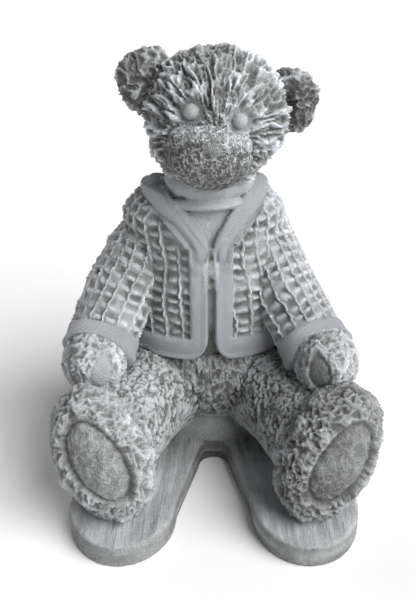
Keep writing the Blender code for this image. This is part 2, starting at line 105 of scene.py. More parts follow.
# The knit. Widths, waves and shifts are shares of a ladder's width or of the pitch of its rungs
TORSO_LADDERS = 15
SLEEVE_LADDERS = 15
KNIT_RISE = 4.4
KNIT_DROP = 1.6
# The sleeves' knit is painted lighter than the body's, a painted highlight on the same knit.
KNIT_TONE = {"cardigan": 0.44, "sleeve": 0.5}
KNIT_TONE_RISE = 0.2
RIB_WIDTH = 0.12
RIB_WAVE = 0.04
RUNG_RISE = 2.3
RUNG_PITCH = 10.2
RUNG_SHIFT = 0.3
SLOPE_RISE = 0.9

# The soles, the palms and the ears
PAD_WIDTH = 44.0
PAD_LENGTH = 74.0
PAD_LEAN = 11.0
PAD_SHIFT = {-1: 8.0, 1: -2.0}
# Per-side tones, where side -1 is the bear's right: its right pad and foot are painted lighter than its
# left ones, painted light and shade on top of the stone's own tone.
PAD_TONE = {-1: 0.22, 1: 0.06}
FOOT_TONE = {-1: 0.03, 1: -0.12}
# Per-side palm tones: the bear's right palm is painted lighter and its left one darker, painted light and
# shade.
PALM_TONE = {-1: 0.5, 1: 0.2}
FOOT_RIM_SIDE = 18.0
FOOT_RIM_END = 21.0
PAD_WRINKLE = 4.6
PALM_WIDTH = 18.0
PALM_LENGTH = 25.0
PALM_INWARD = 9.0
PALM_UP = 12.0
FAR_OUT = 9.0
EAR_HOLLOW = 7.5
EAR_HOLLOW_WIDTH = 14.0
EAR_HOLLOW_HEIGHT = 15.0

# The studio, in metres and degrees, with what is read from the photograph in its pixels. Each sun has its
# strength, the angle that it fills and the way to it
FLOOR_TONE = 0.88
SKY_STRENGTH = 0.13
SUNS = {
    "key": (4.65, 55, (0.65, -0.41, 0.64)),
    "back": (1.3, 70, (-0.7, 0.7, 0.25)),
}
PHOTO_HEIGHT = 600
PHOTO_FOCAL_LENGTH = 724
PHOTO_SHIFT = -5.5
CAMERA_BACK = 0.5524
CAMERA_HEIGHT = 0.4515
CAMERA_DOWN = 27


class Ball:
    """An ellipsoid of one region, turned by XYZ angles in degrees."""

    def __init__(self, region, centre, radii, turn=(0, 0, 0)):
        self.region = region
        self.centre = np.array(centre, float)
        self.radii = np.array(radii, float)
        self.turn = Euler([math.radians(a) for a in turn]).to_matrix()

    def moved(self, matrix):
        made = Ball(self.region, matrix @ Vector(self.centre), self.radii)
        made.turn = matrix.to_3x3() @ self.turn
        return made

    def local(self, points):
        return (points - self.centre) @ np.array(self.turn)

    def distance(self, points):
        unit = self.local(points) / self.radii
        near = np.linalg.norm(unit, axis=1) + 1e-9
        slope = np.linalg.norm(unit / self.radii, axis=1) + 1e-9
        return near * (near - 1) / slope

    def add_to(self, shape):
        place = Matrix.LocRotScale(Vector(self.centre), self.turn, Vector(self.radii))
        bmesh.ops.create_icosphere(shape, subdivisions=5, radius=1, matrix=place)


class Limb:
    """A round, tapering run through knots of (x, y, z, radius)."""

    STEPS = 8

    def __init__(self, region, knots):
        self.region = region
        self.knots = np.array(knots, float)
        self.line = smooth_line(self.knots, self.STEPS)

    def moved(self, matrix):
        centres = [matrix @ Vector(k[:3]) for k in self.knots]
        return Limb(self.region, [(*c, k[3]) for c, k in zip(centres, self.knots)])

    def along(self, points):
        """For each point: distance to the skin, length run along the limb, and that place on its axis."""
        best = np.full(len(points), 1e9)
        run = np.zeros(len(points))
        foot = np.zeros((len(points), 3))
        reached = 0.0
        for start, end in zip(self.line[:-1], self.line[1:]):
            step = end - start
            length = np.linalg.norm(step[:3])
            share = np.clip((points - start[:3]) @ step[:3] / length**2, 0, 1)
            axis = start[:3] + share[:, None] * step[:3]
            gap = np.linalg.norm(points - axis, axis=1) - (start[3] + share * step[3])
            nearer = gap < best
            best[nearer] = gap[nearer]
            run[nearer] = reached + share[nearer] * length
            foot[nearer] = axis[nearer]
            reached += length
        return best, run, foot

    def distance(self, points):
        return self.along(points)[0]

    def add_to(self, shape):
        for x, y, z, radius in self.line:
            place = Matrix.LocRotScale(Vector((x, y, z)), None, Vector((radius,) * 3))
            bmesh.ops.create_icosphere(shape, subdivisions=4, radius=1, matrix=place)


class Stack:
    """A closed body through upright elliptical sections: rows of (z, x, y, half-width, half-depth)."""

    STEPS = 6
    SIDES = 96

    def __init__(self, region, rows, place=None):
        self.region = region
        self.rows = np.array(rows, float)
        self.line = smooth_line(self.rows, self.STEPS)
        self.place = place or Matrix()

    def moved(self, matrix):
        return Stack(self.region, self.rows, matrix @ self.place)

    def section(self, z):
        """Middle x and y, half-width and half-depth at a height."""
        return [np.interp(z, self.line[:, 0], self.line[:, i]) for i in range(1, 5)]

    def distance(self, points):
        x, y, z = inside_out(self.place, points).T
        mid_x, mid_y, wide, deep = self.section(z)
        u, v = (x - mid_x) / wide, (y - mid_y) / deep
        share = np.hypot(u, v) + 1e-9
        side = share * (share - 1) / (np.hypot(u / wide, v / deep) + 1e-9)
        return np.maximum(side, np.maximum(self.line[0, 0] - z, z - self.line[-1, 0]))

    def add_to(self, shape):
        rings = []
        for i, (z, x, y, wide, deep) in enumerate(self.line):
            place = self.place @ Matrix.LocRotScale(Vector((x, y, z)), None, Vector((wide, deep, 1)))
            capped = i in (0, len(self.line) - 1)
            ring = bmesh.ops.create_circle(
                shape, cap_ends=capped, segments=self.SIDES, radius=1, matrix=place
            )
            own = set(ring["verts"])
            rings.append([e for e in shape.edges if all(v in own for v in e.verts)])
        for low, high in zip(rings[:-1], rings[1:]):
            bmesh.ops.bridge_loops(shape, edges=low + high)
        bmesh.ops.recalc_face_normals(shape, faces=shape.faces)


def smooth_line(knots, steps):
    """A Catmull-Rom run through the knots."""
    ends = np.vstack([2 * knots[0] - knots[1], knots, 2 * knots[-1] - knots[-2]])
    line = []
    for a, b, c, d in zip(ends[:-3], ends[1:-2], ends[2:-1], ends[3:]):
        for t in np.arange(steps) / steps:
            line.append(
                0.5 * (2 * b + (c - a) * t + (2 * a - 5 * b + 4 * c - d) * t**2
                       + (3 * b - a - 3 * c + d) * t**3)
            )
    line.append(knots[-1])
    return np.array(line)


def ramp(value, low, high):
    """0 below low, 1 above high, and smooth between."""
    t = np.clip((value - low) / (high - low), 0, 1)
    return t * t * (3 - 2 * t)


def bell(value, middle, width):
    """1 in the middle, and next to nothing two widths away from it."""
    return np.exp(-((value - middle) / width) ** 2)


def inside_out(matrix, points):
    """The points in the frame that the matrix places."""
    return (points - np.array(matrix.translation)) @ np.array(matrix.to_3x3())


# The bear's forms, in figure units
HEAD_CENTRE = Vector((2, 40, 297))
HEAD_TURN = Matrix.Translation(HEAD_CENTRE) @ Matrix.Rotation(math.radians(8), 4, "Y")
HEAD = [
    Ball("head", (0, 0, 3), (57, 54, 50)),
    Ball("head", (-2, 2, -16), (48, 46, 40)),
    Ball("head", (-3, -21, -23), (43, 31, 29)),
    Ball("muzzle", (-3, -31, -22), (35, 38, 29), (-12, 0, 0)),
    Ball("muzzle", (-3, -47, -9), (32, 21, 15)),
    Ball("nose", (-1, -64, -10), (9, 6, 5.5)),
    Ball("ear", (-58, 4, 20), (23, 12, 24), (0, 0, 12)),
    Ball("ear", (56, 6, 20), (25, 12, 25), (0, 0, -12)),
    Ball("eye", (-21, -49, 12), (5.8, 5.8, 5.8)),
    Ball("eye", (16, -49.5, 10.5), (5.8, 5.8, 5.8)),
]
EARS = {-1: np.array((-58.0, -8, 22)), 1: np.array((57.0, -6, 20))}

TORSO_AXIS_Y = 56.0
TORSO_TURN = (
    Matrix.Translation((-6, TORSO_AXIS_Y, 0))
    @ Matrix.Rotation(math.radians(6), 4, "Z")
    @ Matrix.Translation((0, -TORSO_AXIS_Y, 0))
)
TORSO = [
    Stack("cardigan", [
        (60, 2, 58, 66, 46), (90, 3, 58, 74, 54), (112, 3, 58, 76, 57), (132, 3, 58, 76, 57),
        (152, 1, 57, 73, 56), (172, 0, 56, 70, 53), (192, -2, 54, 69, 50), (206, -3, 52, 70, 47),
        (216, -3, 51, 70, 45), (224, -3, 50, 65, 42), (232, -3, 49, 58, 40), (239, -3, 48, 52, 38),
    ]),
    Ball("neck", (0, 36, 247), (38, 35, 19)),
    Ball("neck", (-2, 36, 232.5), (38, 36, 8)),
    Limb("collar", [
        (7, 9, 187, 7), (6.5, 8.4, 197, 7.5), (11.5, 10.5, 207, 8.5), (20.5, 13.8, 219, 9),
        (32, 21, 230.5, 9), (42.5, 39, 238.5, 8.5), (42, 62, 237, 7.5), (24, 82, 230, 6.5),
        (-3, 88, 226, 6.5), (-30, 82, 230, 6.5), (-48, 62, 237, 7.5), (-48.5, 39, 239, 8.5),
        (-38, 21, 230.5, 9), (-24.5, 13.8, 219, 9), (-15.5, 10.5, 207, 8.5),
        (-10.5, 8.4, 197, 7.5), (-11, 9, 187, 7),
    ]),
]
SLEEVES = {
    -1: Limb("sleeve", [(-50, 58, 196, 27), (-67, 40, 174, 29), (-80, 27, 152, 30),
                        (-92, 11, 127, 30), (-101, -5, 103, 29)]),
    1: Limb("sleeve", [(38, 68, 197, 26), (49, 52, 172, 28), (61, 36, 148, 29),
                       (77, 17, 122, 29), (92, -1, 100, 29)]),
}
HANDS = {
    -1: Ball("hand", (-103, -21, 101), (26, 28, 28), (25, 0, 0)),
    1: Ball("hand", (97, -21, 101), (26, 28, 28), (25, 0, 0)),
}
LOWER = [
    Ball("lap", (0, 62, 53), (74, 57, 62)),
    Ball("lap", (-60, 20, 66), (26, 30, 22)),
    Ball("lap", (58, 20, 66), (26, 30, 22)),
    Ball("seat", (0, 50, -10), (64, 54, 38)),
    Limb("leg", [(-36, 60, 38, 46), (-66, 5, 41, 43), (-88, -55, 44, 42)]),
    Limb("leg", [(36, 60, 38, 46), (66, 5, 41, 43), (88, -55, 44, 42)]),
]
FOOT = (PAD_WIDTH / 2 + FOOT_RIM_SIDE, 31, PAD_LENGTH / 2 + FOOT_RIM_END)
FEET = {
    -1: Ball("foot", (-91, -82, 52), FOOT, (-13, -27, -14)),
    1: Ball("foot", (94, -82, 53), FOOT, (-13, 30, 15)),
}


def torso_and_limbs():
    torso = [form.moved(TORSO_TURN) for form in TORSO]
    return [*torso, *SLEEVES.values(), *HANDS.values(), *LOWER, *FEET.values()]


def cuff_plane(limb):
    """Where a sleeve ends: a point on its axis and the way its opening faces."""
    end = limb.line[-1][:3]
    way = end - limb.line[-4][:3]
    at = end + way / np.linalg.norm(way) * 4
    way = way / np.linalg.norm(way) - np.array((0, CUFF_LEAN, 0))
    return at, way / np.linalg.norm(way)


def region_gaps(forms, points):
    """Each region's distance to the points. The cardigan is cut at its hem, the sleeves at their cuffs."""
    found = {form.region: np.full(len(points), 1e9) for form in forms}
    for form in forms:
        gap = form.distance(points)
        if form.region == "cardigan":
            gap = np.maximum(gap, HEM_HEIGHT - points[:, 2])
        if form.region == "sleeve":
            at, way = cuff_plane(form)
            gap = np.maximum(gap, (points - at) @ way)
        found[form.region] = np.minimum(found[form.region], gap)
    return found


def hash_noise(points, size, seed):
    """Smooth noise from -1 to 1, with features about as large as size."""
    table = np.random.default_rng(seed).uniform(-1, 1, HASH_SIZE)
    cell = points / size
    base = np.floor(cell).astype(np.int64)
    share = cell - base
    share = share * share * (3 - 2 * share)
    total = np.zeros(len(points))
    for corner in np.ndindex(2, 2, 2):
        x, y, z = (at * prime for at, prime in zip((base + np.array(corner)).T, HASH_PRIMES))
        index = (x ^ y ^ z) & (HASH_SIZE - 1)
        weight = np.prod(np.where(corner, share, 1 - share), axis=1)
        total += table[index] * weight
    return total


def panel_edge(points):
    """Distance in from the cardigan's open front edge, collar edge and hem. Negative is outside."""
    x, y, z = inside_out(TORSO_TURN, points).T
    half_gap = PANEL_GAP + OPENING_SPREAD * np.maximum(z - V_BOTTOM, 0)
    slope = np.where(z > V_BOTTOM, 1 / math.hypot(1, OPENING_SPREAD), 1)
    from_gap = (np.abs(x - OPENING_X) - half_gap) * slope
    from_hem = (z - HEM_HEIGHT) * EDGE_BAND / HEM_BAND
    drop = COLLAR_DROP * ramp(y, TORSO_AXIS_Y, TORSO_AXIS_Y + COLLAR_DROP_RUN)
    from_top = COLLAR_EDGE_SLOPE * (COLLAR_TOP - drop - z)
    corner = HEM_CORNER - np.hypot(from_gap - HEM_CORNER, from_hem - HEM_CORNER)
    at_corner = (from_gap < HEM_CORNER) & (from_hem < HEM_CORNER)
    inner = np.where(at_corner, corner, np.minimum(from_gap, from_hem))
    return np.minimum(np.where(y > TORSO_AXIS_Y, from_hem, inner), from_top)


def ladder(across, along):
    """Knitted ladders: a thin wavy rib where across is whole, a slope behind it, and rungs between."""
    wave = np.sin(2 * math.pi * along / RUNG_PITCH + 2.1 * np.floor(across + 0.5))
    across = across + RIB_WAVE * wave
    column = np.floor(across)
    share = across - column
    off_rib = np.minimum(share, 1 - share)
    rib = np.maximum(0, 1 - off_rib / RIB_WIDTH) ** 1.3
    phase = np.mod(along / RUNG_PITCH + RUNG_SHIFT * np.sin(column * 12.9898), 1)
    rung = np.clip(0.35 - 0.75 * np.cos(2 * math.pi * phase), 0, 1.1) * ramp(off_rib, 0.0, 0.28)
    slope = SLOPE_RISE * (0.5 - share)
    return np.maximum(KNIT_RISE * rib, RUNG_RISE * rung + slope) - KNIT_DROP


def loose_ladder(points, across, along):
    """The same ladders, as uneven as hand knitting."""
    across = across + 0.2 * hash_noise(points, 20, 41)
    along = along + 3.4 * hash_noise(points, 14, 42)
    fray = 0.5 * hash_noise(points, 3.4, 44) + 0.35 * hash_noise(points, 1.8, 45)
    return ladder(across, along) * (0.85 + 0.6 * hash_noise(points, 10, 43)) + fray


def knit_tone(region, knit):
    """Tone of the ladders, brighter the higher they stand."""
    return np.clip(KNIT_TONE[region] + KNIT_TONE_RISE * knit, 0, 1)


def cardigan_relief(points, to_collar):
    """Height, weave and tone of the bands, the ladders, the shirt in the opening and the tab."""
    x, y, z = inside_out(TORSO_TURN, points).T
    edge = panel_edge(points)
    mid_x, mid_y, wide, deep = TORSO[0].section(z)
    around = np.arctan2(np.abs(x - mid_x) / wide, (mid_y - y) / deep) / math.pi
    knit = loose_ladder(points, TORSO_LADDERS * around, z)
    in_band = 1 - ramp(edge, EDGE_BAND - EDGE_SOFTNESS, EDGE_BAND + EDGE_SOFTNESS)
    in_panel = ramp(edge, -1.0, 1.2)
    lapel = BAND_RISE + LAPEL_RISE * (1 - ramp(to_collar, 0, LAPEL_WIDTH))
    lip = 0.9 * bell(edge, 2.4, 1.4) - 0.5 * bell(edge, 5.0, 1.2)
    rise = (lapel + lip) * in_band + knit * (1 - in_band)
    rise = rise * in_panel - SHIRT_DROP * (1 - in_panel)

    shirt = (y < TORSO_AXIS_Y) * (1 - in_panel)
    off = x - OPENING_X
    tab = (y < TORSO_AXIS_Y) * ramp(TAB_WIDTH / 2 - np.abs(off), -EDGE_SOFTNESS, EDGE_SOFTNESS)
    tab = tab * ramp(z, TAB_BOTTOM, TAB_BOTTOM + 2) * (1 - ramp(z, V_BOTTOM - 2, V_BOTTOM))
    rim = bell(np.abs(off), TAB_WIDTH / 2 - 2.0, 1.3)
    holes = sum(np.exp(-(off**2 + (z - TAB_BOTTOM - at) ** 2) / HOLE_SPREAD) for at in TAB_HOLES)
    rise = rise * (1 - tab) + (BAND_RISE + TAB_RIM * rim - HOLE_DEPTH * holes) * tab
    ribs = SHIRT_RIB_RISE * np.sin(off * 2 * math.pi / SHIRT_RIB_PITCH)
    rise = rise + shirt * (z < TAB_BOTTOM) * ribs

    plain = np.maximum(in_band * in_panel, 1 - in_panel)
    plain_tone = SHIRT_TONE + (1 - SHIRT_TONE) * in_panel - 0.36 * tab
    tone = knit_tone("cardigan", knit) * (1 - plain) + plain_tone * plain - 0.5 * holes * tab
    # Painted shade in the narrow gap between the front bands, low below the tab.
    tone = tone - 0.4 * shirt * (z < TAB_BOTTOM - 35)
    return rise, in_band * in_panel * (1 - tab), tone


def sleeve_relief(points, limb):
    """Height, weave and tone of the ladders down a sleeve and its plain cuff."""
    _, run, foot = limb.along(points)
    out = points - foot
    turn = np.arctan2(out[:, 0], -out[:, 1]) / (2 * math.pi)
    knit = loose_ladder(points, SLEEVE_LADDERS * turn, run)
    at, way = cuff_plane(limb)
    from_end = -((points - at) @ way)
    cuff = 1 - ramp(from_end, CUFF_LENGTH - EDGE_SOFTNESS, CUFF_LENGTH + EDGE_SOFTNESS)
    roll = CUFF_ROLL * bell(from_end, 3.5, 3.0)
    tone = knit_tone("sleeve", knit) * (1 - cuff) + cuff
    return knit * (1 - cuff) + (BAND_RISE + roll) * cuff, cuff, tone


def pad_share(points, foot, side):
    """How far out a point of the sole lies, where 1 is the pad's rim, or FAR_OUT behind the foot."""
    x, y, z = foot.local(points).T
    lean = math.radians(PAD_LEAN) * side
    x = x - PAD_SHIFT[side]
    across = x * math.cos(lean) - z * math.sin(lean)
    along = x * math.sin(lean) + z * math.cos(lean)
    return np.where(y < 0, np.hypot(across / (PAD_WIDTH / 2), along / (PAD_LENGTH / 2)), FAR_OUT)


def palm_share(points, hand, side):
    """The same for the bare palm on the inner front of a hand."""
    x, y, z = hand.local(points).T
    share = np.hypot((x + side * PALM_INWARD) / (PALM_WIDTH / 2), (z - PALM_UP) / (PALM_LENGTH / 2))
    return np.where(y < 0, share, FAR_OUT)


def ear_relief(points):
    """The hollow of each ear, towards the head."""
    local = inside_out(HEAD_TURN, points)
    drop = np.zeros(len(points))
    for side, at in EARS.items():
        off = local - at + np.array((side * 7.0, 0, 4.0))
        share = np.hypot(off[:, 0] / EAR_HOLLOW_WIDTH, off[:, 2] / EAR_HOLLOW_HEIGHT)
        front = (local[:, 1] < at[1] + 12) & (side * local[:, 0] > 40)
        drop += np.where(front, -EAR_HOLLOW * (1 - ramp(share, 0.3, 1.1)), 0)
    return drop


class Fur(NamedTuple):
    """The fur of one region. Lengths are in figure units, and tones from 0, dark, to 1, bright."""

    across: float  # how far apart the crests lie
    along: float  # how long they run
    rise: float  # the rise of the crests, or below 0 the depth of pits
    fine_rise: float  # the rise of the finer crests between them
    lump_rise: float  # the rise of the lumps under both
    dark: float  # the tone of the hollows
    bright: float  # the tone of the crests
    lies: tuple = None  # the way the crests run
    second: float = 0.0  # how high a second set of crests is, against the first


FUR = {
    "head": Fur(6.2, 15.0, 5.2, 1.8, 1.8, 0.0, 0.9, lies=(0, 0, 1), second=0.45),
    "muzzle": Fur(3.0, 3.6, 0.7, 0.4, 0.0, 0.24, 1.0),
    "ear": Fur(7.0, 8.8, 3.4, 1.5, 3.0, -0.25, 0.7, second=0.45),
    "lap": Fur(4.4, 12.0, 2.8, 1.2, 1.0, 0.0, 0.72, lies=(0, -0.25, -1), second=0.75),
    "leg": Fur(3.8, 9.0, -2.6, 0.9, 1.4, -0.1, 1.0, lies=(0.3, -0.5, -0.8)),
    "foot": Fur(6.4, 9.0, 3.8, 1.3, 2.2, 0.06, 0.68, lies=(-0.5, 0, 0.8), second=0.75),
    "hand": Fur(5.2, 8.0, 2.6, 1.0, 1.2, 0.2, 0.85, lies=(0, -0.25, -1), second=0.75),
}
HEAD_ROUND = 54.0
HEAD_FOOT = 248.0


def fur_map(region, points):
    """Where the points lie in a region's fur, shrunk along the way it lies.

    The head's fur runs towards the bridge of the nose, so there the third number is the way from it.
    """
    fur = FUR[region]
    if region == "head":
        local = inside_out(HEAD_TURN, points)
        local = local / np.linalg.norm(local, axis=1)[:, None]
        round_front = local[:, ::2] / (np.linalg.norm(local[:, ::2], axis=1)[:, None] + 1e-9)
        from_bridge = np.arccos(np.clip(-local[:, 1], -1, 1))
        points = HEAD_ROUND * np.column_stack([round_front, from_bridge])
    if region in ("leg", "foot"):
        points = points * np.column_stack([np.sign(points[:, 0]), np.ones((len(points), 2))])
    if fur.lies:
        way = np.array(fur.lies) / np.linalg.norm(fur.lies)
        points = points - (1 - fur.across / fur.along) * (points @ way)[:, None] * way
    return points


def crests(points, size, seed):
    """Sharp, jagged crests that wind between hollows of about a size: 1 on a crest, 0 in a hollow."""
    bend = [hash_noise(points, 1.2 * size, seed + i) for i in (1, 2, 3)]
    bent = points + 0.4 * size * np.column_stack(bend)
    level = hash_noise(bent, size, seed) + 0.4 * hash_noise(bent, 0.45 * size, seed + 4)
    return np.clip(1 - np.abs(level) / 0.45, 0, 1) ** 1.5


def fur_relief(region, points, seed):
    """Height and tone of one region's fur."""
    fur = FUR[region]
    place = fur_map(region, points)
    main = crests(place, fur.across, seed) * (0.85 + 0.5 * hash_noise(place, 1.7 * fur.across, seed + 5))
    if fur.second:
        main = np.maximum(main, fur.second * crests(place, 0.85 * fur.across, seed + 400))
    fine = crests(points, 0.55 * fur.across, seed + 6)
    rough = hash_noise(points, 1.7, seed + 11)
    lumps = hash_noise(points, 12, seed + 12)
    height = fur.rise * main + fur.fine_rise * fine + 0.35 * rough + fur.lump_rise * lumps
    share = main if fur.rise > 0 else 0.5 - 0.75 * main
    tone = fur.dark + (fur.bright - fur.dark) * np.clip(share + 0.2 * fine + 0.1 * rough, 0, 1)
    return height - 0.25 * abs(fur.rise), tone


def board_relief(points, outs):
    """Wood grain on the board's top and worn layers round its edge."""
    x, y, z = points.T
    bend = 6 * hash_noise(points * np.array((1, 0.35, 1)), 60, 5)
    grain = hash_noise(np.column_stack([x + bend + 0.16 * np.sign(x) * y, y * 0.06, z * 0]), 3.4, 6)
    fine = hash_noise(np.column_stack([x + bend, y * 0.08, z * 0]), 1.7, 7)
    layer = hash_noise(np.column_stack([x * 0.12, y * 0.12, z]), 4.2, 8)
    rough = hash_noise(points, 3.0, 9)
    top = ramp(outs[:, 2], 0.5, 0.9)
    side = 1 - ramp(np.abs(outs[:, 2]), 0.3, 0.8)
    return top * (0.55 * grain + 0.25 * fine) + side * (0.8 * layer + 0.35 * rough)


class Carving:
    """What is cut into one skin: its height and, by name, the marks that the stone's material reads."""

    def __init__(self, forms, points, outs):
        self.forms, self.points, self.outs = forms, points, outs
        self.gaps = region_gaps(forms, points)
        self.labels = np.array(list(self.gaps))[np.argmin(list(self.gaps.values()), axis=0)]
        self.labels[points[:, 2] < 1.0] = "board"
        self.height = np.zeros(len(points))
        self.marks = {name: np.zeros(len(points)) for name in MARKS}
        self.marks["crest"][:] = 0.6
        self.cut_fur()
        if "head" in self.labels:
            self.cut_face()
            return
        self.cut_cardigan()
        for side in (-1, 1):
            self.cut_sleeve(side)
            self.cut_sole(side)
            self.cut_palm(side)
        self.cut_board()

    def smooth(self, mine, bare, rise, tone):
        """Swaps the carving for a smooth, stippled place where bare is 1."""
        crest, stipple = self.marks["crest"], self.marks["stipple"]
        self.height[mine] = self.height[mine] * (1 - bare) + rise * bare
        crest[mine] = crest[mine] * (1 - bare) + tone * bare
        stipple[mine] = np.maximum(stipple[mine], 0.4 * bare)

    def on_side(self, region, side):
        return (np.sign(self.points[:, 0]) == side) & (self.labels == region)

    def cut_fur(self):
        """All the fur, worn down near the board and towards the neck."""
        up = self.points[:, 2]
        uneven = up + 7 * hash_noise(self.points, 18, 31)
        for seed, region in enumerate(FUR):
            mine = self.labels == region
            if not mine.any():
                continue
            fur, tone = fur_relief(region, self.points[mine], 20 * seed)
            if region == "head":
                clear = ramp(up[mine], HEAD_FOOT, HEAD_FOOT + 12)
            elif region in ("leg", "lap"):
                clear = ramp(uneven[mine], 4, 30)
            else:
                clear = ramp(up[mine], 0, 6)
            self.height[mine] = fur * clear
            self.marks["crest"][mine] = tone * clear + 0.8 * (1 - clear)
            self.marks["grain"][mine] = 1 - clear

    def cut_face(self):
        """Smooth rings round the eyes, the stippled muzzle with painted shade on its front and underside,
        and the ears' hollows.
        """
        crest = self.marks["crest"]
        eyes = np.array([form.centre for form in self.forms if form.region == "eye"])
        to_eye = np.linalg.norm(self.points[:, None] - eyes, axis=2).min(axis=1)
        near = np.isin(self.labels, ("head", "muzzle"))
        self.smooth(near, 1 - ramp(to_eye[near], 6.5, 13), -1.8, 0.3)
        self.marks["stipple"][np.isin(self.labels, ("muzzle", "nose"))] = 1
        crest[self.labels == "nose"] = 0.35
        # Painted shade: the muzzle is darker where it faces forward and down, and keeps its tone where it
        # faces up.
        crest -= 0.3 * (self.labels == "muzzle") * (1 - ramp(self.outs[:, 2], 0.1, 0.6))
        crest[self.labels == "eye"] = 0.45
        ear = self.labels == "ear"
        self.height[ear] += ear_relief(self.points[ear])

    def cut_cardigan(self):
        """The cardigan, its flattened collar and the polo-neck."""
        weave, crest = self.marks["weave"], self.marks["crest"]
        mine = self.labels == "cardigan"
        relief = cardigan_relief(self.points[mine], self.gaps["collar"][mine])
        self.height[mine], weave[mine], crest[mine] = relief
        mine = self.labels == "collar"
        edge = panel_edge(self.points[mine])
        proud = np.clip(0.5 * (self.gaps["cardigan"][mine] - 2.5), 0, 1.6)
        self.height[mine] = 0.5 * bell(edge, 0.4, 1.2) - 0.9 * bell(edge, 2.8, 0.8) - proud
        weave[mine] = 1
        crest[mine] = 1.0
        crest[self.labels == "neck"] = 0.5

    def cut_sleeve(self, side):
        mine = self.on_side("sleeve", side)
        relief = sleeve_relief(self.points[mine], SLEEVES[side])
        self.height[mine], self.marks["weave"][mine], self.marks["crest"][mine] = relief

    def cut_sole(self, side):
        """The tone of a foot, and the wrinkled pad on its sole with a groove for its rim; both carry
        painted light and shade, lighter on the bear's right side.
        """
        mine = self.on_side("foot", side)
        # Painted light and shade: the foot's tone shifts by side.
        self.marks["crest"][mine] += FOOT_TONE[side]
        share = pad_share(self.points[mine], FEET[side], side)
        wrinkle = crests(self.points[mine], PAD_WRINKLE, 301)
        pad = -1.2 - 2.2 * ramp(share, 0.5, 1.0) - 2.4 * bell(share, 1.03, 0.06)
        pad = pad + 0.9 * wrinkle + 0.8 * hash_noise(self.points[mine], PAD_WRINKLE, 308)
        # Painted light and shade: the pad is lighter on the bear's right side.
        tone = PAD_TONE[side] + 0.2 * wrinkle - 0.25 * bell(share, 1.03, 0.08)
        self.smooth(mine, 1 - ramp(share, 0.98, 1.12), pad, tone)

    def cut_palm(self, side):
        mine = self.on_side("hand", side)
        share = palm_share(self.points[mine], HANDS[side], side)
        palm = -1.0 - 1.4 * bell(share, 1.0, 0.1)
        # Painted light and shade: the palm's tone depends on its side.
        self.smooth(mine, 1 - ramp(share, 0.95, 1.1), palm, PALM_TONE[side])

    def cut_board(self):
        """The plain seat, and the board, with painted shade towards the back behind the feet and on its
        sides, and a painted highlight on its top.
        """
        grain, crest = self.marks["grain"], self.marks["crest"]
        seat = self.labels == "seat"
        grain[seat] = 1
        crest[seat] = 0.3
        board = self.labels == "board"
        out_up = self.outs[board, 2]
        relief = board_relief(self.points[board], self.outs[board])
        # Painted shade: the board darkens towards the back, under the bear and behind the feet.
        painted_shade_behind_feet = ramp(self.points[board, 1], -60, 0)
        self.height[board] = relief
        grain[board] = 0.25 + 0.75 * ramp(out_up, 0.5, 0.9)
        # Painted highlight on the upward-facing top and painted shade on the sides; the relief term is the
        # grain's own tone.
        tone = 0.3 + 0.18 * ramp(out_up, 0.4, 0.9) - 0.22 * painted_shade_behind_feet + 0.22 * relief
        crest[board] = np.clip(tone, 0, 1)


def new_object(name, data):
    obj = bpy.data.objects.new(name, data)
    bpy.context.scene.collection.objects.link(obj)
    return obj


def evaluated_mesh(obj):
    """A new mesh of the object with its modifiers in effect."""
    bpy.context.view_layer.update()
    graph = bpy.context.evaluated_depsgraph_get()
    return bpy.data.meshes.new_from_object(obj.evaluated_get(graph))


def arc(centre, radii, start, end, steps):
    """Points on an ellipse from one angle to another, in degrees."""
    angles = np.radians(np.linspace(start, end, steps))
    return [(centre[0] + radii[0] * math.cos(a), centre[1] + radii[1] * math.sin(a)) for a in angles]


def board_outline():
    """The board seen from above: a round back, and a lobe under each leg with an arch between them."""
    lobe_x = (BOARD_WIDTH - LOBE_WIDTH) / 2
    lobe_y = -LOBE_REACH + LOBE_LENGTH
    corner = BOARD_BACK_CORNER
    half = arc((0, -ARCH_WIDTH / 2), (ARCH_WIDTH / 2,) * 2, 90, 0, 12)
    half += arc((lobe_x, lobe_y), (LOBE_WIDTH / 2, LOBE_LENGTH), 180, 360, 48)
    half += arc((BOARD_WIDTH / 2 - corner, BOARD_BACK - corner), (corner, corner), 0, 90, 24)
    return half + [(-x, y) for x, y in reversed(half[1:])]


def board_shape():
    """The board as a closed shape, with its upper edge rounded."""
    shape = bmesh.new()
    face = shape.faces.new([shape.verts.new((x, y, -BOARD_THICKNESS)) for x, y in board_outline()])
    raised = bmesh.ops.extrude_face_region(shape, geom=[face])["geom"]
    top = [v for v in raised if isinstance(v, bmesh.types.BMVert)]
    bmesh.ops.translate(shape, verts=top, vec=(0, 0, BOARD_THICKNESS))
    rim = [e for e in shape.edges if all(v in top for v in e.verts)]
    bmesh.ops.bevel(shape, geom=rim, offset=BOARD_ROUNDING, segments=3, profile=0.5, affect="EDGES")
    bmesh.ops.recalc_face_normals(shape, faces=shape.faces)
    return shape


def form_shape(form):
    """One form as a closed shape, cut at the hem or the cuff, that ends within the board."""
    shape = bmesh.new()
    form.add_to(shape)
    if form.region in ("cardigan", "sleeve"):
        at, way = (0, 0, HEM_HEIGHT), (0, 0, -1)
        if form.region == "sleeve":
            at, way = cuff_plane(form)
        everything = shape.verts[:] + shape.edges[:] + shape.faces[:]
        cut = bmesh.ops.bisect_plane(
            shape, geom=everything, plane_co=at, plane_no=way, clear_outer=True
        )
        rim = [e for e in cut["geom_cut"] if isinstance(e, bmesh.types.BMEdge)]
        bmesh.ops.holes_fill(shape, edges=rim)
    for vert in shape.verts:
        vert.co.z = max(vert.co.z, -BOARD_THICKNESS / 2)
    return shape


